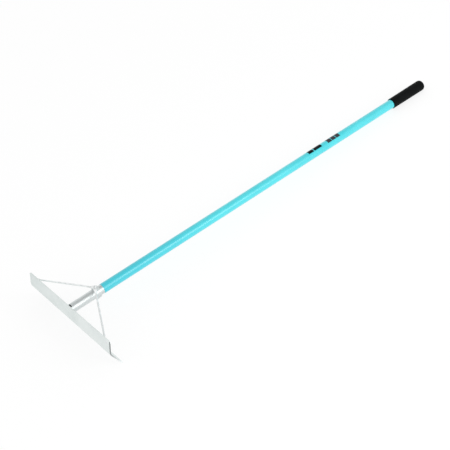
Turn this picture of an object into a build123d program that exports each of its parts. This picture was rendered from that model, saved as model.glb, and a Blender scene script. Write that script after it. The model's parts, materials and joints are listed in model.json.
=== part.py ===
"""Concrete placer: a bent aluminium blade on a braced socket tube, with a long handle and a grip.

The tool lies on a floor, on the blade's working edge and the grip's rounded end. +X runs along the
blade, +Y from the blade to the grip and +Z up. The origin is on the floor, under the middle of the
tool's box. Left and right are as seen from in front of the blade, so left is -X.
"""
from build123d import *
import math
import os

os.makedirs("parts", exist_ok=True)

# Driving dimensions, in millimetres and degrees. A station is a distance along the pole's axis from
# the blade's top edge toward the grip. A height is measured square to that axis, up from it.

BLADE_WIDTH = 500
BLADE_SHEET = 4
BLADE_TOP_HEIGHT = 20
BLADE_UPPER_LEG = 46  # top edge to the bend's sharp corner, on the middle of the sheet
BLADE_LOWER_LEG = 60  # the bend's sharp corner to the working edge
BLADE_UPPER_LEAN = 15  # both legs lean back from the bend, toward the handle
BLADE_LOWER_LEAN = 26
BLADE_BEND_RADIUS = 20  # on the middle of the sheet
BLADE_CORNER_RADIUS = 3

HANDLE_DIAMETER = 33
HANDLE_WALL = 1
HANDLE_START = 124
HANDLE_END = 1580
SLIP_FIT = 0.1  # on the diameter, wherever one round piece is pushed over another

SOCKET_WALL = 2
SOCKET_END = 214
NOTCH_WIDTH = 14
NOTCH_X = 3  # it is cut a little to the right of the tube's top
NOTCH_END = 8
PLUG_LENGTH = 22
WELD_RADIUS = 3

BRACE_ROD = 6
BRACE_FLAT = 2.5  # thickness of the flattened ends
BRACE_FLAT_WIDTH = 12
BRACE_DROP = 11.4  # from the blade's top edge down the sheet to the outer ends' middle
BRACE_BEND_X = 218  # where the rod leaves the blade
BRACE_RIVET_X = 232
BRACE_TAB_END_X = 243
BRACE_STATION = 102.5  # of the eyes and their bolt
BRACE_EYE = 14
EYE_NECK = 12  # from the eye's middle to where the rod starts to round out
FLAT_TO_ROUND = 16  # length over which a flattened end becomes a rod

SADDLE_WIDTH = 18
SADDLE_LENGTH = 20
SADDLE_THICKNESS = 2.5  # on the tube's centre line

BOLT = 6
BOLT_HOLE = 6.4
BOLT_HEAD = 11
BOLT_HEAD_HEIGHT = 3.2
NUT_ACROSS_FLATS = 10
NUT_HEIGHT = 6
NUT_BOTTOM_WALL = 1.2
BOLT_TAIL = 1.5  # thread that stands out of the nut

RIVET = 5
RIVET_HOLE = 5.1
RIVET_HEAD = 9
RIVET_HEAD_HEIGHT = 2
BLIND_RIVET = 4.8
BLIND_RIVET_HEAD = 9.5
BLIND_RIVET_HEAD_HEIGHT = 1.6
BLIND_RIVET_TAIL = 7
BLIND_RIVET_TAIL_HEIGHT = 4
BLIND_RIVET_TAIL_GAP = 0.6  # from the bore's lowest line up to the pulled tail
HANDLE_RIVET_STATIONS = (148, 188)

END_PLUG_LENGTH = 22

GRIP_START = 1422
GRIP_END = 1586
GRIP_MOUTH_DIAMETER = 38.5
GRIP_DIAMETER = 39.5
GRIP_STRAIGHT = 45  # the last stretch, which doesn't taper
GRIP_CORNER_RADIUS = 11
GRIP_DOME_RADIUS = 60
GRIP_LIP = 1.2

LABEL_START = 1000
LABEL_LENGTH = 178
LABEL_THICKNESS = 0.2
LABEL_HALF_ANGLE = 62

socket_diameter = HANDLE_DIAMETER - 2 * HANDLE_WALL - SLIP_FIT
socket_bore = socket_diameter - 2 * SOCKET_WALL


def leaning(start, length, lean, up):
    """A (station, height) point along a leg that leans back, up or down from its start."""
    lean_angle = math.radians(lean)
    rise = 1 if up else -1
    return (
        start[0] + length * math.sin(lean_angle),
        start[1] + rise * length * math.cos(lean_angle),
    )


# The blade's section, as (station, height) points on the middle of the sheet.
blade_corner = (
    -BLADE_UPPER_LEG * math.sin(math.radians(BLADE_UPPER_LEAN)),
    BLADE_TOP_HEIGHT - BLADE_UPPER_LEG * math.cos(math.radians(BLADE_UPPER_LEAN)),
)
blade_top = leaning(blade_corner, BLADE_UPPER_LEG, BLADE_UPPER_LEAN, up=True)
blade_edge = leaning(blade_corner, BLADE_LOWER_LEG, BLADE_LOWER_LEAN, up=False)

# The bend's sharp corner splits the angle between the legs. Inward is back, toward the handle.
half_bend = math.radians((BLADE_UPPER_LEAN + BLADE_LOWER_LEAN) / 2)
inward_angle = math.radians((BLADE_UPPER_LEAN - BLADE_LOWER_LEAN) / 2)


def inside_bend(distance):
    """The (station, height) point that far inward of the bend's sharp corner."""
    return (
        blade_corner[0] + distance * math.cos(inward_angle),
        blade_corner[1] - distance * math.sin(inward_angle),
    )


bend_centre = inside_bend(BLADE_BEND_RADIUS / math.cos(half_bend))

# Two places touch the floor: the front corner of the working edge and the grip's rounded end corner.
lip_lean = math.radians(BLADE_LOWER_LEAN)
heel = (
    blade_edge[0] - BLADE_SHEET / 2 * math.cos(lip_lean),
    blade_edge[1] - BLADE_SHEET / 2 * math.sin(lip_lean),
)
grip_corner_height = GRIP_DIAMETER / 2 - GRIP_CORNER_RADIUS
dome_inset = math.sqrt((GRIP_DOME_RADIUS - GRIP_CORNER_RADIUS) ** 2 - grip_corner_height**2)
grip_heel = (GRIP_END - GRIP_DOME_RADIUS + dome_inset, -grip_corner_height)

# The pole falls toward the grip by the slope of the line that touches both from below.
reach = math.dist(heel, grip_heel)
pitch = math.atan2(grip_heel[1] - heel[1], grip_heel[0] - heel[0]) - math.asin(
    GRIP_CORNER_RADIUS / reach
)


def lengthwise(station, height):
    """Distance along the floor, from a point under the pole's station 0."""
    return station * math.cos(pitch) + height * math.sin(pitch)


def upward(station, height):
    """Height square to the floor, from the level of the pole's station 0."""
    return height * math.cos(pitch) - station * math.sin(pitch)


front_reach = lengthwise(*bend_centre) - BLADE_BEND_RADIUS - BLADE_SHEET / 2
grip_reach = lengthwise(GRIP_END - GRIP_DOME_RADIUS, 0) + GRIP_DOME_RADIUS
pole_y = -(front_reach + grip_reach) / 2
pole_z = -upward(*heel)

ACROSS = Vector(1, 0, 0)
ALONG = Vector(0, math.cos(pitch), -math.sin(pitch))
ABOVE = Vector(0, math.sin(pitch), math.cos(pitch))


def on_tool(x, station, height):
    """The point at that place on the tool."""
    return Vector(x, pole_y + lengthwise(station, height), pole_z + upward(station, height))


def section_plane(x=0):
    """The upright plane along the pole, whose axes are station and height."""
    return Plane(origin=on_tool(x, 0, 0), x_dir=ALONG, z_dir=ACROSS)


def pole_plane(station):
    """The plane square to the pole. Its own y axis points down."""
    return Plane(origin=on_tool(0, station, 0), x_dir=ACROSS, z_dir=ALONG)


def level_plane(height, station=0):
    """The plane parallel to the pole and the blade, whose axes are x and station."""
    return Plane(origin=on_tool(0, station, height), x_dir=ACROSS, z_dir=ABOVE)


pole_axis = Axis(on_tool(0, 0, 0), ALONG)

# The plane through the brace ends on the middle of the blade's upper leg, facing the front.
upper_lean = math.radians(BLADE_UPPER_LEAN)
brace_line = leaning(
    blade_corner, BLADE_UPPER_LEG - BRACE_DROP, BLADE_UPPER_LEAN, up=True
)
upper_front = ABOVE * math.sin(upper_lean) - ALONG * math.cos(upper_lean)
upper_plane = Plane(origin=on_tool(0, *brace_line), x_dir=ACROSS, z_dir=upper_front)

# Blade: one bent sheet, with countersunk holes for the brace rivets.
with BuildPart() as blade:
    with BuildSketch(section_plane()):
        with BuildLine():
            FilletPolyline(blade_top, blade_corner, blade_edge, radius=BLADE_BEND_RADIUS)
        trace(line_width=BLADE_SHEET)
    extrude(amount=BLADE_WIDTH / 2, both=True)
    thickness_edges = blade.edges().filter_by(
        lambda edge: edge.length < BLADE_SHEET * 1.01 and abs(edge.center().X) > BLADE_WIDTH / 2 - 0.1
    )
    for side in (-1, 1):
        for section_end in (blade_top, blade_edge):
            corner = on_tool(side * BLADE_WIDTH / 2, *section_end)
            fillet(thickness_edges.sort_by_distance(corner)[0], BLADE_CORNER_RADIUS)
    with Locations(upper_plane.offset(BLADE_SHEET / 2)):
        with Locations((-BRACE_RIVET_X, 0), (BRACE_RIVET_X, 0)):
            CounterSinkHole(RIVET_HOLE / 2, RIVET_HEAD / 2, depth=BLADE_SHEET)
blade.part.label = "blade"
export_step(blade.part, "parts/blade.step")


# Everything near the pole that lies in front of the blade's back face, to cope pieces against it.
with BuildPart() as blade_front:
    back = BLADE_SHEET / 2
    back_corner = inside_bend(back / math.cos(half_bend))
    back_top = leaning(back_corner, BLADE_UPPER_LEG, BLADE_UPPER_LEAN, up=True)
    back_edge = leaning(back_corner, BLADE_LOWER_LEG, BLADE_LOWER_LEAN, up=False)
    front = blade_corner[0] - BLADE_UPPER_LEG
    with BuildSketch(section_plane()):
        with BuildLine():
            FilletPolyline(back_top, back_corner, back_edge, radius=BLADE_BEND_RADIUS - back)
            Polyline(back_edge, (front, back_edge[1]), (front, back_top[1]), back_top)
        make_face()
    extrude(amount=HANDLE_DIAMETER, both=True)

# Socket tube: coped to the blade's back, notched on top beside it, and drilled for its fasteners.
with BuildPart() as socket_tube:
    with BuildSketch(pole_plane(blade_corner[0])):
        Circle(socket_diameter / 2)
        Circle(socket_bore / 2, mode=Mode.SUBTRACT)
    extrude(amount=SOCKET_END - blade_corner[0])
    add(blade_front.part, mode=Mode.SUBTRACT)
    with BuildSketch(level_plane(0)):
        with Locations((NOTCH_X, NOTCH_END / 2 - NOTCH_WIDTH / 2)):
            RectangleRounded(NOTCH_WIDTH, NOTCH_END + NOTCH_WIDTH, 2)
    extrude(amount=HANDLE_DIAMETER, mode=Mode.SUBTRACT)
    with BuildSketch(level_plane(0, BRACE_STATION)):
        Circle(BOLT_HOLE / 2)
    extrude(amount=HANDLE_DIAMETER, both=True, mode=Mode.SUBTRACT)
    with BuildSketch(level_plane(0)):
        with Locations(*[(0, station) for station in HANDLE_RIVET_STATIONS]):
            Circle(RIVET_HOLE / 2)
    extrude(amount=-HANDLE_DIAMETER, mode=Mode.SUBTRACT)
socket_tube.part.label = "socket_tube"
export_step(socket_tube.part, "parts/socket_tube.step")

# Plug: closes the socket's end, and shows black in the notch.
with BuildPart() as socket_plug:
    with BuildSketch(pole_plane(blade_corner[0])):
        Circle((socket_bore - SLIP_FIT) / 2)
    extrude(amount=PLUG_LENGTH - blade_corner[0])
    add(blade_front.part, mode=Mode.SUBTRACT)
socket_plug.part.label = "socket_plug"
export_step(socket_plug.part, "parts/socket_plug.step")

# Weld: a round bead where the socket meets the blade's back, open at the notch.
with BuildPart() as socket_weld:
    weld_station = -BLADE_TOP_HEIGHT * math.tan(upper_lean)
    weld_plane = Plane(origin=on_tool(0, weld_station, 0), x_dir=ACROSS, z_dir=-upper_front)
    with Locations(weld_plane.offset(BLADE_SHEET / 2)):
        Torus(socket_diameter / 2 + WELD_RADIUS / 4, WELD_RADIUS)
    add(blade_front.part, mode=Mode.SUBTRACT)
    with BuildSketch(pole_plane(blade_corner[0])):
        Circle(socket_diameter / 2)
    extrude(amount=PLUG_LENGTH - blade_corner[0], mode=Mode.SUBTRACT)
    with BuildSketch(level_plane(0)):
        with Locations((NOTCH_X, 0)):
            Rectangle(NOTCH_WIDTH, PLUG_LENGTH * 2)
    extrude(amount=HANDLE_DIAMETER, mode=Mode.SUBTRACT)
socket_weld.part.label = "socket_weld"
export_step(socket_weld.part, "parts/socket_weld.step")

saddle_top = socket_diameter / 2 + SADDLE_THICKNESS


def make_saddle(side):
    """A block that is hollowed to sit on the socket tube, above it or below it."""
    with BuildPart() as saddle:
        with BuildSketch(level_plane(0, BRACE_STATION)):
            RectangleRounded(SADDLE_WIDTH, SADDLE_LENGTH, 2)
            Circle(BOLT_HOLE / 2, mode=Mode.SUBTRACT)
        extrude(amount=side * saddle_top)
        with BuildSketch(pole_plane(BRACE_STATION)):
            Circle(socket_diameter / 2)
        extrude(amount=SADDLE_LENGTH, both=True, mode=Mode.SUBTRACT)
    return saddle


upper_saddle = make_saddle(1)
upper_saddle.part.label = "upper_saddle"
export_step(upper_saddle.part, "parts/upper_saddle.step")

lower_saddle = make_saddle(-1)
lower_saddle.part.label = "lower_saddle"
export_step(lower_saddle.part, "parts/lower_saddle.step")


def make_brace(side, eye_height):
    """A round rod with two flattened ends: a tab on the blade's back and an eye over the socket."""
    bend = upper_plane.from_local_coords(
        Vector(side * BRACE_BEND_X, 0, -(BLADE_SHEET + BRACE_FLAT) / 2)
    )
    eye = on_tool(0, BRACE_STATION, eye_height)
    outward = bend - eye
    level_outward = (outward - ABOVE * outward.dot(ABOVE)).normalized()
    neck = eye + level_outward * EYE_NECK
    rod_run = bend - neck
    rod_direction = rod_run.normalized()
    rod_start = neck + rod_direction * FLAT_TO_ROUND
    rod_end = bend - rod_direction * FLAT_TO_ROUND
    tab_plane = upper_plane.offset(-BLADE_SHEET / 2 - BRACE_FLAT)
    flat_side = ABOVE.cross(level_outward)
    with BuildPart() as brace:
        with BuildSketch(Plane(origin=rod_start, z_dir=rod_direction)):
            Circle(BRACE_ROD / 2)
        extrude(amount=(rod_end - rod_start).length)
        with BuildSketch(Plane(origin=neck, x_dir=flat_side, z_dir=level_outward)):
            SlotOverall(BRACE_FLAT_WIDTH, BRACE_FLAT)
        with BuildSketch(Plane(origin=rod_start, x_dir=flat_side, z_dir=rod_direction)):
            Circle(BRACE_ROD / 2)
        loft()
        with BuildSketch(Plane(origin=rod_end, x_dir=upper_plane.y_dir, z_dir=rod_direction)):
            Circle(BRACE_ROD / 2)
        with BuildSketch(Plane(origin=bend, x_dir=upper_plane.y_dir, z_dir=ACROSS * side)):
            SlotOverall(BRACE_FLAT_WIDTH, BRACE_FLAT)
        loft()
        with BuildSketch(tab_plane):
            with Locations((side * (BRACE_BEND_X + BRACE_TAB_END_X) / 2, 0)):
                SlotOverall(BRACE_TAB_END_X - BRACE_BEND_X + BRACE_FLAT_WIDTH, BRACE_FLAT_WIDTH)
            with Locations((side * (BRACE_BEND_X - BRACE_FLAT_WIDTH), 0)):
                Rectangle(2 * BRACE_FLAT_WIDTH, 2 * BRACE_FLAT_WIDTH, mode=Mode.SUBTRACT)
            with Locations((side * BRACE_RIVET_X, 0)):
                Circle(RIVET_HOLE / 2, mode=Mode.SUBTRACT)
        extrude(amount=BRACE_FLAT)
        eye_plane = Plane(
            origin=eye - ABOVE * BRACE_FLAT / 2, x_dir=level_outward, z_dir=ABOVE
        )
        with BuildSketch(eye_plane):
            Circle(BRACE_EYE / 2)
            with Locations((EYE_NECK / 2, 0)):
                Rectangle(EYE_NECK, BRACE_FLAT_WIDTH)
        extrude(amount=BRACE_FLAT)
        with BuildSketch(eye_plane):
            Circle(BOLT_HOLE / 2)
        extrude(amount=BRACE_FLAT, mode=Mode.SUBTRACT)
    return brace


left_brace = make_brace(-1, saddle_top + BRACE_FLAT / 2)
left_brace.part.label = "left_brace"
export_step(left_brace.part, "parts/left_brace.step")

right_brace = make_brace(1, saddle_top + BRACE_FLAT * 1.5)
right_brace.part.label = "right_brace"
export_step(right_brace.part, "parts/right_brace.step")

# Brace bolt: a dome head on the upper eye, and a shank down through the socket.
bolt_seat = saddle_top + 2 * BRACE_FLAT
bolt_tip = -saddle_top - NUT_HEIGHT - BOLT_TAIL
with BuildPart() as brace_bolt:
    with BuildSketch(level_plane(bolt_tip, BRACE_STATION)):
        Circle(BOLT / 2)
    extrude(amount=bolt_seat - bolt_tip)
    chamfer(brace_bolt.edges().sort_by(Axis.Z)[0], 0.6)
    with BuildSketch(level_plane(bolt_seat, BRACE_STATION)):
        Circle(BOLT_HEAD / 2)
    extrude(amount=BOLT_HEAD_HEIGHT)
    fillet(brace_bolt.edges().sort_by(Axis.Z)[-1], BOLT_HEAD_HEIGHT * 0.85)
    with BuildSketch(level_plane(bolt_seat + BOLT_HEAD_HEIGHT, BRACE_STATION)):
        RegularPolygon(2, 6, major_radius=False)
    extrude(amount=-BOLT_HEAD_HEIGHT * 0.6, mode=Mode.SUBTRACT)
brace_bolt.part.label = "brace_bolt"
export_step(brace_bolt.part, "parts/brace_bolt.step")

# Brace nut: a hexagon with a raised locking collar, under the lower saddle.
with BuildPart() as brace_nut:
    with BuildSketch(level_plane(-saddle_top, BRACE_STATION)):
        RegularPolygon(NUT_ACROSS_FLATS / 2, 6, major_radius=False)
    extrude(amount=-NUT_HEIGHT + NUT_BOTTOM_WALL)
    with BuildSketch(level_plane(-saddle_top, BRACE_STATION)):
        Circle(NUT_ACROSS_FLATS / 2 - 0.5)
    extrude(amount=-NUT_HEIGHT)
    with BuildSketch(level_plane(-saddle_top, BRACE_STATION)):
        Circle(BOLT / 2 + 0.05)
    extrude(amount=-NUT_HEIGHT, mode=Mode.SUBTRACT)
brace_nut.part.label = "brace_nut"
export_step(brace_nut.part, "parts/brace_nut.step")

# Blade rivets: flush countersunk heads in front, dome heads on the brace tabs.
with BuildPart() as blade_rivets:
    with Locations(upper_plane.offset(BLADE_SHEET / 2)):
        with Locations((-BRACE_RIVET_X, 0), (BRACE_RIVET_X, 0)):
            Cylinder(
                RIVET / 2,
                BLADE_SHEET + BRACE_FLAT,
                align=(Align.CENTER, Align.CENTER, Align.MAX),
            )
            Cone(
                RIVET / 2,
                RIVET_HEAD / 2 - 0.1,
                RIVET_HEAD / 2 - 0.1 - RIVET / 2,
                align=(Align.CENTER, Align.CENTER, Align.MAX),
            )
    with Locations(upper_plane.offset(-BLADE_SHEET / 2 - BRACE_FLAT)):
        with Locations((-BRACE_RIVET_X, 0), (BRACE_RIVET_X, 0)):
            Cylinder(
                RIVET_HEAD / 2,
                RIVET_HEAD_HEIGHT,
                align=(Align.CENTER, Align.CENTER, Align.MAX),
            )
    tails = blade_rivets.edges().filter_by(GeomType.CIRCLE).sort_by(
        Axis(on_tool(0, 0, 0), upper_front)
    )
    fillet(tails[:2], RIVET_HEAD_HEIGHT * 0.8)
blade_rivets.part.label = "blade_rivets"
export_step(blade_rivets.part, "parts/blade_rivets.step")

# Handle tube: slides over the socket, and is riveted to it from below.
with BuildPart() as handle_tube:
    with BuildSketch(pole_plane(HANDLE_START)):
        Circle(HANDLE_DIAMETER / 2)
        Circle(HANDLE_DIAMETER / 2 - HANDLE_WALL, mode=Mode.SUBTRACT)
    extrude(amount=HANDLE_END - HANDLE_START)
    with BuildSketch(level_plane(0)):
        with Locations(*[(0, station) for station in HANDLE_RIVET_STATIONS]):
            Circle(RIVET_HOLE / 2)
    extrude(amount=-HANDLE_DIAMETER, mode=Mode.SUBTRACT)
handle_tube.part.label = "handle_tube"
export_step(handle_tube.part, "parts/handle_tube.step")

# Handle rivets: blind rivets with a dome outside and a pulled tail inside the socket.
with BuildPart() as handle_rivets:
    for station in HANDLE_RIVET_STATIONS:
        with BuildSketch(level_plane(-HANDLE_DIAMETER / 2, station)):
            Circle(BLIND_RIVET / 2)
        extrude(amount=(HANDLE_DIAMETER - socket_bore) / 2 + BLIND_RIVET_TAIL_HEIGHT)
        with BuildSketch(level_plane(BLIND_RIVET_TAIL_GAP - socket_bore / 2, station)):
            Circle(BLIND_RIVET_TAIL / 2)
        extrude(amount=BLIND_RIVET_TAIL_HEIGHT)
        with BuildSketch(level_plane(-HANDLE_DIAMETER / 2, station)):
            Circle(BLIND_RIVET_HEAD / 2)
        extrude(amount=-BLIND_RIVET_HEAD_HEIGHT)
    rims = handle_rivets.edges().filter_by(GeomType.CIRCLE).sort_by(
        Axis(on_tool(0, 0, 0), ABOVE)
    )
    fillet(rims[:2], BLIND_RIVET_HEAD_HEIGHT * 0.8)
handle_rivets.part.label = "handle_rivets"
export_step(handle_rivets.part, "parts/handle_rivets.step")

# End plug: keeps the tube's cut end from working through the grip.
with BuildPart() as handle_end_plug:
    with BuildSketch(pole_plane(HANDLE_END)):
        Circle(HANDLE_DIAMETER / 2 - HANDLE_WALL - SLIP_FIT / 2)
    extrude(amount=-END_PLUG_LENGTH)
handle_end_plug.part.label = "handle_end_plug"
export_step(handle_end_plug.part, "parts/handle_end_plug.step")

# Grip: a moulded sleeve, a little fuller at its end, closed by a shallow dome.
with BuildPart() as grip:
    with BuildSketch(section_plane()) as grip_section:
        grip_bore = (HANDLE_DIAMETER + SLIP_FIT) / 2
        with BuildLine():
            outline = Polyline(
                (HANDLE_END, 0),
                (HANDLE_END, grip_bore),
                (GRIP_START, grip_bore),
                (GRIP_START, GRIP_MOUTH_DIAMETER / 2 - GRIP_LIP),
                (GRIP_START + GRIP_LIP, GRIP_MOUTH_DIAMETER / 2),
                (GRIP_END - GRIP_STRAIGHT, GRIP_DIAMETER / 2),
                (GRIP_END - GRIP_CORNER_RADIUS / 2, GRIP_DIAMETER / 2),
            )
            dome_x = GRIP_END - GRIP_DOME_RADIUS
            rim_angle = math.degrees(math.asin(GRIP_DIAMETER / 2 / GRIP_DOME_RADIUS))
            dome = CenterArc((dome_x, 0), GRIP_DOME_RADIUS, 0, rim_angle)
            Line(outline @ 1, dome @ 1)
            Line(dome @ 0, outline @ 0)
        make_face()
        rim = grip_section.vertices().sort_by_distance(dome @ 1)[0]
        fillet(rim, GRIP_CORNER_RADIUS)
    revolve(axis=pole_axis)
grip.part.label = "grip"
export_step(grip.part, "parts/grip.step")

# Label: a thin film over the top of the handle.
with BuildPart() as label:
    with BuildSketch(pole_plane(LABEL_START)):
        with BuildLine():
            CenterArc(
                (0, 0),
                HANDLE_DIAMETER / 2 + LABEL_THICKNESS / 2,
                -90 - LABEL_HALF_ANGLE,
                2 * LABEL_HALF_ANGLE,
            )
        trace(line_width=LABEL_THICKNESS)
    extrude(amount=LABEL_LENGTH)
label.part.label = "label"
export_step(label.part, "parts/label.step")
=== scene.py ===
"""Looks for the concrete placer: materials, printed bars, a rippled weld, and a studio around them.

Everything is in metres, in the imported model's frame. A station is a distance along the pole's axis
from the blade's top edge toward the grip. A height is measured square to that axis, up from it.
"""
import json
import math

import bmesh
import bpy
from mathutils import Matrix, Quaternion, Vector, noise


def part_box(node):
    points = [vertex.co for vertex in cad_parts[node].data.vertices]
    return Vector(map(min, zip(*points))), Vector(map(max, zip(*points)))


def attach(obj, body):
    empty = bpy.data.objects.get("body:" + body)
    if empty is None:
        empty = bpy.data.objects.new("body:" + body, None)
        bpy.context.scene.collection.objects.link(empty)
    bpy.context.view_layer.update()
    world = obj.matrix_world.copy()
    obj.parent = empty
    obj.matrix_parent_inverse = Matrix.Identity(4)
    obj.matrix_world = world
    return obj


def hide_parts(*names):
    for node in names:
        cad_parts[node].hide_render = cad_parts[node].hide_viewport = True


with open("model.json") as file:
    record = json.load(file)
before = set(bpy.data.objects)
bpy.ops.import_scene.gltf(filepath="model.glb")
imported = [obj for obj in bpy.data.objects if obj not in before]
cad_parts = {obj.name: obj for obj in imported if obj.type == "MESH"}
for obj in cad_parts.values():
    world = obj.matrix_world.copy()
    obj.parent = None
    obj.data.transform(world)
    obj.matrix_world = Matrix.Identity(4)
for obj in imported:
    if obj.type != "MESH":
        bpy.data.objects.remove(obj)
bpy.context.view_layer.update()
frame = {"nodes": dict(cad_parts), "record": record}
nodes = frame["nodes"]

# The pole's axis, from the mount on the bare handle, which lies on it.
mounts = {mount["name"]: mount for mount in frame["record"]["mounts"]}
CLIP_STATION = 0.620
ACROSS = Vector((1, 0, 0))
ALONG = Vector(mounts["handle_clip"]["axis"]).normalized()
ABOVE = ACROSS.cross(ALONG)
pole_point = Vector(mounts["handle_clip"]["pos_m"])


def on_tool(x, station, height):
    """The point at that place on the tool."""
    return pole_point + ACROSS * x + ALONG * (station - CLIP_STATION) + ABOVE * height


tool_origin = on_tool(0, 0, 0)

# Materials ------------------------------------------------------------------------------------

NOISE_SPREAD = (0.3, 0.7)  # nearly all of a noise's values lie between these
NOISE_CORE = (0.35, 0.65)  # most of them
UNIT = (0.0, 1.0)
FACING = (0.85, 0.95)  # share of the normal along an axis, from not facing it to facing it


class Look:
    """A Principled material whose colour, roughness and bump are built from nodes."""

    def __init__(self, name, metallic=0.0, specular=0.5, coat=0.0, coat_roughness=0.1):
        self.material = bpy.data.materials.new(name)
        self.material.use_nodes = True
        self.nodes = self.material.node_tree.nodes
        self.links = self.material.node_tree.links
        self.shader = self.nodes["Principled BSDF"]
        self.shader.inputs["Metallic"].default_value = metallic
        self.shader.inputs["Specular IOR Level"].default_value = specular
        self.shader.inputs["Coat Weight"].default_value = coat
        self.shader.inputs["Coat Roughness"].default_value = coat_roughness
        self.place = self.nodes.new("ShaderNodeTexCoord").outputs["Object"]

    def scaled(self, scale):
        """Object coordinates, stretched by a factor for each axis."""
        mapping = self.nodes.new("ShaderNodeMapping")
        mapping.inputs["Scale"].default_value = scale
        self.links.new(self.place, mapping.inputs["Vector"])
        return mapping.outputs["Vector"]

    def noise(self, scale, detail=3.0):
        """Noise from 0 to 1. The scale is one number, or one for each axis."""
        node = self.nodes.new("ShaderNodeTexNoise")
        node.inputs["Detail"].default_value = detail
        if isinstance(scale, tuple):
            node.inputs["Scale"].default_value = 1.0
            self.links.new(self.scaled(scale), node.inputs["Vector"])
        else:
            node.inputs["Scale"].default_value = scale
            self.links.new(self.place, node.inputs["Vector"])
        return node.outputs["Fac"]

    def ranged(self, value, before, after):
        """A value mapped from one range to another, and kept inside the second."""
        node = self.nodes.new("ShaderNodeMapRange")
        node.inputs["From Min"].default_value = before[0]
        node.inputs["From Max"].default_value = before[1]
        node.inputs["To Min"].default_value = after[0]
        node.inputs["To Max"].default_value = after[1]
        self.links.new(value, node.inputs["Value"])
        return node.outputs["Result"]

    def math(self, operation, first, second):
        """A Math node of two values, each a socket or a number."""
        node = self.nodes.new("ShaderNodeMath")
        node.operation = operation
        for socket, value in zip(node.inputs, (first, second)):
            if isinstance(value, (int, float)):
                socket.default_value = value
            else:
                self.links.new(value, socket)
        return node.outputs["Value"]

    def mixed(self, factor, first, second):
        """A colour between two, each a socket or a colour."""
        node = self.nodes.new("ShaderNodeMix")
        node.data_type = "RGBA"
        self.links.new(factor, node.inputs["Factor"])
        for socket, value in zip((node.inputs[6], node.inputs[7]), (first, second)):
            if isinstance(value, tuple):
                socket.default_value = (*value, 1.0)
            else:
                self.links.new(value, socket)
        return node.outputs[2]

    def coordinate(self, direction):
        """Distance along a direction from the pole's axis at the blade's top edge, in metres."""
        node = self.nodes.new("ShaderNodeVectorMath")
        node.operation = "DOT_PRODUCT"
        node.inputs[1].default_value = direction
        self.links.new(self.place, node.inputs[0])
        return self.math("SUBTRACT", node.outputs["Value"], tool_origin.dot(direction))

    def within(self, value, low, high, edge):
        """1 where the value lies between two limits, 0 outside them, and soft over each edge."""
        above = self.ranged(value, (low - edge, low + edge), UNIT)
        below = self.ranged(value, (high - edge, high + edge), (1.0, 0.0))
        return self.math("MULTIPLY", above, below)

    def facing(self, axis):
        """1 where the surface faces along that axis, either way, and 0 elsewhere."""
        normal = self.nodes.new("ShaderNodeNewGeometry").outputs["Normal"]
        parts = self.nodes.new("ShaderNodeSeparateXYZ")
        self.links.new(normal, parts.inputs["Vector"])
        return self.ranged(self.math("ABSOLUTE", parts.outputs[axis], 0.0), FACING, UNIT)

    def colour(self, value):
        """Sets the colour, from a socket or as one colour."""
        if isinstance(value, tuple):
            self.shader.inputs["Base Color"].default_value = (*value, 1.0)
        else:
            self.links.new(value, self.shader.inputs["Base Color"])

    def roughness(self, grain, smoothest, roughest):
        """Sets a roughness that follows a noise."""
        value = self.ranged(grain, NOISE_SPREAD, (smoothest, roughest))
        self.links.new(value, self.shader.inputs["Roughness"])

    def bump(self, height, distance):
        """Bump from a height of 0 to 1 that stands for that distance, in metres."""
        node = self.nodes.new("ShaderNodeBump")
        node.inputs["Distance"].default_value = distance
        self.links.new(height, node.inputs["Height"])
        self.links.new(node.outputs["Normal"], self.shader.inputs["Normal"])

    def on(self, *names):
        """Puts this material on CAD nodes."""
        for name in names:
            nodes[name].data.materials.clear()
            nodes[name].data.materials.append(self.material)


# Blade: mill-finish sheet, with rolling lines along its length, painted light that brightens it toward
# its right end, and sheared ends in their own colour with painted light and shade on them: light low
# down, dark near the top edge.
SHEET_DULL = (0.70, 0.75, 0.74)
SHEET_BRIGHT = (0.80, 0.84, 0.83)
SHEET_PAINTED_LIGHT = 0.7  # painted light, brightening the sheet toward its right end, for each metre
ROLLING_SCALE = (6, 700, 700)
ROLLING_SHARE = 0.4
MOTTLE = (0.5, 0.9)
# Painted light and shade on the sheared ends: light low down, dark near the top edge.
SHEARED_SHADE_HEIGHTS = (-0.07, -0.01)
SHEARED_LIT_LOW = (0.88, 0.92, 0.92)
SHEARED_SHADED_HIGH = (0.24, 0.255, 0.255)
blade_look = Look("blade_metal", metallic=1.0)
rolling = blade_look.noise(ROLLING_SCALE, detail=4.0)
rolled = blade_look.math("MULTIPLY", rolling, ROLLING_SHARE)
mottle = blade_look.math("ADD", rolled, blade_look.noise(9.0, detail=4.0))
# Painted light: the sheet brightens toward its right end.
painted_light_rightward = blade_look.math("MULTIPLY", blade_look.coordinate(ACROSS), SHEET_PAINTED_LIGHT)
blade_grey = blade_look.ranged(blade_look.math("ADD", mottle, painted_light_rightward), MOTTLE, UNIT)
sheet_colour = blade_look.mixed(blade_grey, SHEET_DULL, SHEET_BRIGHT)
# Painted light and shade on the sheared ends, by height: light low down, dark near the top edge.
sheared_shade_share = blade_look.ranged(blade_look.coordinate(ABOVE), SHEARED_SHADE_HEIGHTS, UNIT)
sheared_lit_and_shaded = blade_look.mixed(sheared_shade_share, SHEARED_LIT_LOW, SHEARED_SHADED_HIGH)
blade_look.colour(blade_look.mixed(blade_look.facing("X"), sheet_colour, sheared_lit_and_shaded))
blade_look.roughness(rolling, 0.42, 0.56)
blade_look.bump(rolling, 0.00004)
blade_look.on("blade")

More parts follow.
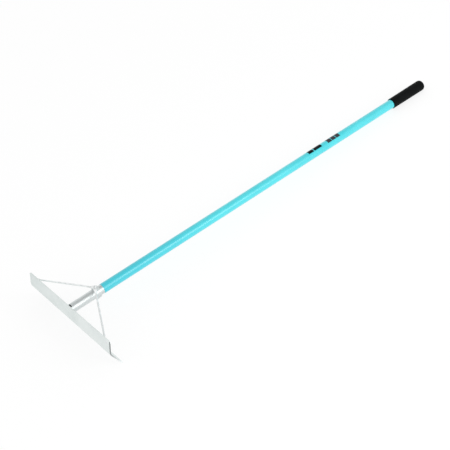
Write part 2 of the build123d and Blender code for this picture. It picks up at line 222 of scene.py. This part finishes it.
# Socket and saddles: drawn tube, with its lines along the pole.
SOCKET_DULL = (0.61, 0.645, 0.645)
SOCKET_BRIGHT = (0.71, 0.75, 0.75)
DRAWING_SCALE = (1400, 12, 1400)
socket_look = Look("socket_metal", metallic=1.0)
drawing = socket_look.noise(DRAWING_SCALE)
socket_grey = socket_look.ranged(drawing, NOISE_SPREAD, UNIT)
socket_look.colour(socket_look.mixed(socket_grey, SOCKET_DULL, SOCKET_BRIGHT))
socket_look.roughness(socket_look.noise(60.0), 0.4, 0.5)
socket_look.bump(drawing, 0.00001)
socket_look.on("socket_tube", "upper_saddle", "lower_saddle")

# Braces and their bolt: zinc-plated steel, with painted light that brightens them toward the left.
ZINC_DULL = (0.76, 0.78, 0.78)
ZINC_BRIGHT = (0.95, 0.97, 0.97)
ZINC_PAINTED_LIGHT = 1.2  # painted light, brightening toward the left, for each metre
zinc_look = Look("brace_metal", metallic=1.0)
spangle = zinc_look.noise(400.0, detail=2.0)
# Painted light: the zinc brightens toward the left, on top of its random clouding.
painted_light_leftward = zinc_look.math("MULTIPLY", zinc_look.coordinate(ACROSS), -ZINC_PAINTED_LIGHT)
zinc_cloud_and_light = zinc_look.math("ADD", zinc_look.noise(70.0), painted_light_leftward)
zinc_grey = zinc_look.ranged(zinc_cloud_and_light, NOISE_CORE, UNIT)
zinc_look.colour(zinc_look.mixed(zinc_grey, ZINC_DULL, ZINC_BRIGHT))
zinc_look.roughness(spangle, 0.26, 0.4)
zinc_look.bump(spangle, 0.00003)
zinc_look.on("left_brace", "right_brace", "brace_bolt", "brace_nut")

# Rivets: plain aluminium.
RIVET_DULL = (0.68, 0.70, 0.71)
RIVET_BRIGHT = (0.80, 0.81, 0.82)
rivet_look = Look("rivet_metal", metallic=1.0)
rivet_grain = rivet_look.noise(900.0)
rivet_look.colour(rivet_look.mixed(rivet_grain, RIVET_DULL, RIVET_BRIGHT))
rivet_look.roughness(rivet_grain, 0.3, 0.42)
rivet_look.bump(rivet_grain, 0.00002)
rivet_look.on("blade_rivets", "handle_rivets")

# Handle: sky-blue coating with a faint orange peel, and painted shade that deepens it near the socket.
COATING = ((0.058, 0.65, 0.725), (0.068, 0.69, 0.765))
COATING_SHADED = (0.045, 0.585, 0.69)
COATING_CLOUDS = 14.0
SHADED_TO_LIT = (0.25, 0.6)  # stations over which the painted shade fades out
coat_look = Look("handle_coating", coat=0.6, coat_roughness=0.2)
peel = coat_look.noise(1100.0, detail=1.0)
tint = coat_look.ranged(coat_look.noise(COATING_CLOUDS), NOISE_CORE, UNIT)
# Painted shade: the coating is darker near the socket and fades to its own blue farther along.
painted_light_along = coat_look.ranged(coat_look.coordinate(ALONG), SHADED_TO_LIT, UNIT)
coat_look.colour(coat_look.mixed(painted_light_along, COATING_SHADED, coat_look.mixed(tint, *COATING)))
coat_look.roughness(peel, 0.28, 0.4)
coat_look.bump(peel, 0.00003)
coat_look.on("handle_tube")

# Grip: black rubber with a fine pebble.
RUBBER_DARK = (0.002, 0.003, 0.003)
RUBBER_PALE = (0.004, 0.005, 0.0055)
rubber_look = Look("grip_rubber", specular=0.07)
pebble = rubber_look.noise(1500.0, detail=2.0)
rubber_grey = rubber_look.ranged(rubber_look.noise(35.0), NOISE_SPREAD, UNIT)
rubber_look.colour(rubber_look.mixed(rubber_grey, RUBBER_DARK, RUBBER_PALE))
rubber_look.roughness(pebble, 0.5, 0.68)
rubber_look.bump(pebble, 0.0001)
rubber_look.on("grip")

# Plugs: black moulded plastic.
PLUG_DARK = (0.008, 0.009, 0.009)
PLUG_PALE = (0.014, 0.015, 0.015)
plug_look = Look("plug_plastic", specular=0.15)
plug_grain = plug_look.noise(1300.0)
plug_look.colour(plug_look.mixed(plug_grain, PLUG_DARK, PLUG_PALE))
plug_look.roughness(plug_grain, 0.45, 0.6)
plug_look.bump(plug_grain, 0.00005)
plug_look.on("socket_plug", "handle_end_plug")

# Weld: dull metal.
WELD_DULL = (0.55, 0.56, 0.57)
WELD_BRIGHT = (0.78, 0.79, 0.80)
weld_look = Look("weld_metal", metallic=1.0)
weld_grain = weld_look.noise(700.0, detail=4.0)
weld_look.colour(weld_look.mixed(weld_grain, WELD_DULL, WELD_BRIGHT))
weld_look.roughness(weld_grain, 0.35, 0.5)
weld_look.bump(weld_grain, 0.00005)

# Label: film in the handle's blue, printed along the top with two blocks of plain bars.
PRINT_LEFT = -0.013
PRINT_EDGE = 0.0003
BLACK_RIGHT = 0.009
BLACK_BARS = ((1.007, 1.030), (1.033, 1.0685))  # stations where each bar starts and ends
BLACK_INK = (0.001, 0.004, 0.006)
GREY_RIGHT = 0.0112
GREY_BARS = ((1.096, 1.1145), (1.1165, 1.1345), (1.1365, 1.154))
GREY_INK = (0.045, 0.047, 0.055)
label_look = Look("label_film", specular=0.1, coat_roughness=0.2)
label_station = label_look.coordinate(ALONG)
label_across = label_look.coordinate(ACROSS)


def printed(spans, right):
    """1 on the bars that lie between those stations, out to that side of the tube, and 0 elsewhere."""
    inked = 0.0
    for low, high in spans:
        bar = label_look.within(label_station, low, high, PRINT_EDGE)
        inked = label_look.math("ADD", bar, inked)
    width = label_look.within(label_across, PRINT_LEFT, right, PRINT_EDGE)
    return label_look.math("MULTIPLY", inked, width)


film_tint = label_look.ranged(label_look.noise(COATING_CLOUDS), NOISE_CORE, UNIT)
black_print = printed(BLACK_BARS, BLACK_RIGHT)
grey_print = printed(GREY_BARS, GREY_RIGHT)
film = label_look.mixed(film_tint, *COATING)
film = label_look.mixed(black_print, film, BLACK_INK)
film = label_look.mixed(grey_print, film, GREY_INK)
label_look.colour(film)
bare_film = label_look.math("SUBTRACT", 1.0, label_look.math("ADD", black_print, grey_print))
label_look.links.new(bare_film, label_look.shader.inputs["Coat Weight"])
label_grain = label_look.noise(500.0)
label_look.roughness(label_grain, 0.3, 0.36)
label_look.bump(label_grain, 0.00001)
label_look.on("label")

# Weld bead ------------------------------------------------------------------------------------

# A fillet of overlapping ripples round the socket, on the blade's back, open at the notch.
BLADE_SHEET = 0.004
WELD_SIZE = 0.003
WELD_SUNK = 0.0005  # how far the bead's root is sunk in the metal on both sides
WELD_END = 0.002  # length over which each end of the bead rounds off
RIPPLE = 0.0025  # from one ripple to the next
RIPPLE_HOLLOW = 0.86  # size between ripples, as a share of the bead's
RIPPLE_DEPTH = 0.08  # what a ripple adds to that share
CRESCENT = 0.9  # ripples by which the bead's middle leads its edges
WOBBLE = 0.12
WOBBLE_SCALE = 3
NOTCH_LEFT = -0.0044
NOTCH_RIGHT = 0.0104
STEPS_IN_RIPPLE = 8
STEPS_OVER_BEAD = 12


def weld_bead():
    """The bead's mesh: one closed section for each step round the socket, and a cap at each end."""
    blade_face = mounts["blade_face"]
    front = Vector(blade_face["axis"]).normalized()
    rise = front.cross(ACROSS)
    to_back = -BLADE_SHEET - (pole_point - Vector(blade_face["pos_m"])).dot(front)
    centre = pole_point + ALONG * (to_back / ALONG.dot(front))
    socket_low, socket_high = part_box("socket_tube")
    socket_radius = (socket_high[0] - socket_low[0]) / 2
    stretch = 1 / abs(ALONG.dot(front))  # of the socket's outline, where the blade cuts it
    start = math.asin(NOTCH_RIGHT / socket_radius)
    end = math.tau + math.asin(NOTCH_LEFT / socket_radius)
    bead_length = socket_radius * (end - start)
    ripples = round(bead_length / RIPPLE)
    steps = ripples * STEPS_IN_RIPPLE

    mesh = bmesh.new()
    sections = []
    for step in range(steps + 1):
        share = step / steps
        turn = start + (end - start) * share
        outward = (ACROSS * math.sin(turn) + rise * math.cos(turn)).normalized()
        reach = socket_radius * math.hypot(math.sin(turn), math.cos(turn) * stretch)
        to_end = bead_length * min(share, 1 - share)
        rounding = math.sqrt(min(1.0, (to_end + WELD_SUNK) / WELD_END))
        wobble = 1 + WOBBLE * noise.noise(Vector((turn * WOBBLE_SCALE, 0, 0)))
        root = centre + outward * (reach - WELD_SUNK) + front * WELD_SUNK
        section = [mesh.verts.new(root)]
        for point in range(STEPS_OVER_BEAD + 1):
            over = point / STEPS_OVER_BEAD
            angle = math.pi / 2 * over
            middle = math.sin(math.pi * over)
            phase = (share * ripples + CRESCENT * middle) % 1.0
            ripple = RIPPLE_HOLLOW + RIPPLE_DEPTH * middle * math.sqrt(phase)
            size = WELD_SIZE * rounding * wobble * ripple
            out = outward * size * math.cos(angle)
            back = -front * size * math.sin(angle)
            section.append(mesh.verts.new(root + out + back))
        sections.append(section)
    for here, there in zip(sections, sections[1:]):
        for corner, point in enumerate(here):
            after = (corner + 1) % len(here)
            mesh.faces.new((point, here[after], there[after], there[corner]))
    mesh.faces.new(reversed(sections[0]))
    mesh.faces.new(sections[-1])
    bmesh.ops.recalc_face_normals(mesh, faces=mesh.faces)
    data = bpy.data.meshes.new("weld_bead")
    mesh.to_mesh(data)
    mesh.free()
    for polygon in data.polygons:
        polygon.use_smooth = True
    return data


bead = bpy.data.objects.new("weld_bead", weld_bead())
bpy.context.collection.objects.link(bead)
bead.data.materials.append(weld_look.material)
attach(bead, "root")
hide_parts("socket_weld")

# Studio ---------------------------------------------------------------------------------------

FLOOR_HALF = 40.0
FLOOR_CORNERS = ((-1, -1), (1, -1), (1, 1), (-1, 1))
FLOOR_GREY = (0.2, 0.2, 0.2)
FLOOR_GLOW = 0.82
floor_mesh = bpy.data.meshes.new("floor")
floor_points = [(x * FLOOR_HALF, y * FLOOR_HALF, 0) for x, y in FLOOR_CORNERS]
floor_mesh.from_pydata(floor_points, [], [(0, 1, 2, 3)])
floor = bpy.data.objects.new("floor", floor_mesh)
bpy.context.collection.objects.link(floor)
floor_look = Look("floor_white", specular=0.0)
floor_look.colour(FLOOR_GREY)
floor_look.shader.inputs["Emission Color"].default_value = (1, 1, 1, 1)
floor_look.shader.inputs["Emission Strength"].default_value = FLOOR_GLOW
floor_look.shader.inputs["Roughness"].default_value = 1.0
floor_mesh.materials.append(floor_look.material)

SKY_LOW = 1.08
SKY_HIGH = 0.6
SKY_LOW_UNTIL = 0.45
SKY_HIGH_FROM = 0.9
world = bpy.data.worlds.new("studio")
bpy.context.scene.world = world
world.use_nodes = True
sky = world.node_tree.nodes
direction = sky.new("ShaderNodeTexCoord")
height = sky.new("ShaderNodeSeparateXYZ")
shade = sky.new("ShaderNodeValToRGB")
shade.color_ramp.interpolation = "EASE"
low_stop, high_stop = shade.color_ramp.elements
low_stop.position = SKY_LOW_UNTIL
low_stop.color = (SKY_LOW, SKY_LOW, SKY_LOW, 1)
high_stop.position = SKY_HIGH_FROM
high_stop.color = (SKY_HIGH, SKY_HIGH, SKY_HIGH, 1)
world.node_tree.links.new(direction.outputs["Generated"], height.inputs["Vector"])
world.node_tree.links.new(height.outputs["Z"], shade.inputs["Fac"])
world.node_tree.links.new(shade.outputs["Color"], sky["Background"].inputs["Color"])

# One square soft box, to the right and above.
KEY_PLACE = Vector((2.8, 0.7, 1.5))
KEY_AIM = Vector((0, -0.2, 0))
KEY_SIZE = 1.7
KEY_POWER = 26
key_data = bpy.data.lights.new("key", "AREA")
key_data.size = KEY_SIZE
key_data.energy = KEY_POWER
key = bpy.data.objects.new("key", key_data)
key.location = KEY_PLACE
key.rotation_euler = (KEY_AIM - KEY_PLACE).to_track_quat("-Z", "Y").to_euler()
bpy.context.collection.objects.link(key)

CAMERA_LENS = 76.75
CAMERA_SENSOR = 36
CAMERA_ROLL = -14.75  # degrees, from upright along the height above the pole
CAMERA_PLACE = on_tool(2.2981, -0.6838, 1.8400)
CAMERA_AIM = on_tool(0.0658, 0.5743, 0.0)
camera_data = bpy.data.cameras.new("camera")
camera_data.lens = CAMERA_LENS
camera_data.sensor_width = CAMERA_SENSOR
camera = bpy.data.objects.new("camera", camera_data)
camera.location = CAMERA_PLACE
sight = (CAMERA_AIM - CAMERA_PLACE).normalized()
rightward = sight.cross(ABOVE).normalized()
level = Matrix((rightward, rightward.cross(sight), -sight)).transposed().to_quaternion()
camera.rotation_euler = (level @ Quaternion((0, 0, 1), math.radians(CAMERA_ROLL))).to_euler()
bpy.context.collection.objects.link(camera)
bpy.context.scene.camera = camera
bpy.context.scene.view_settings.view_transform = "Standard"
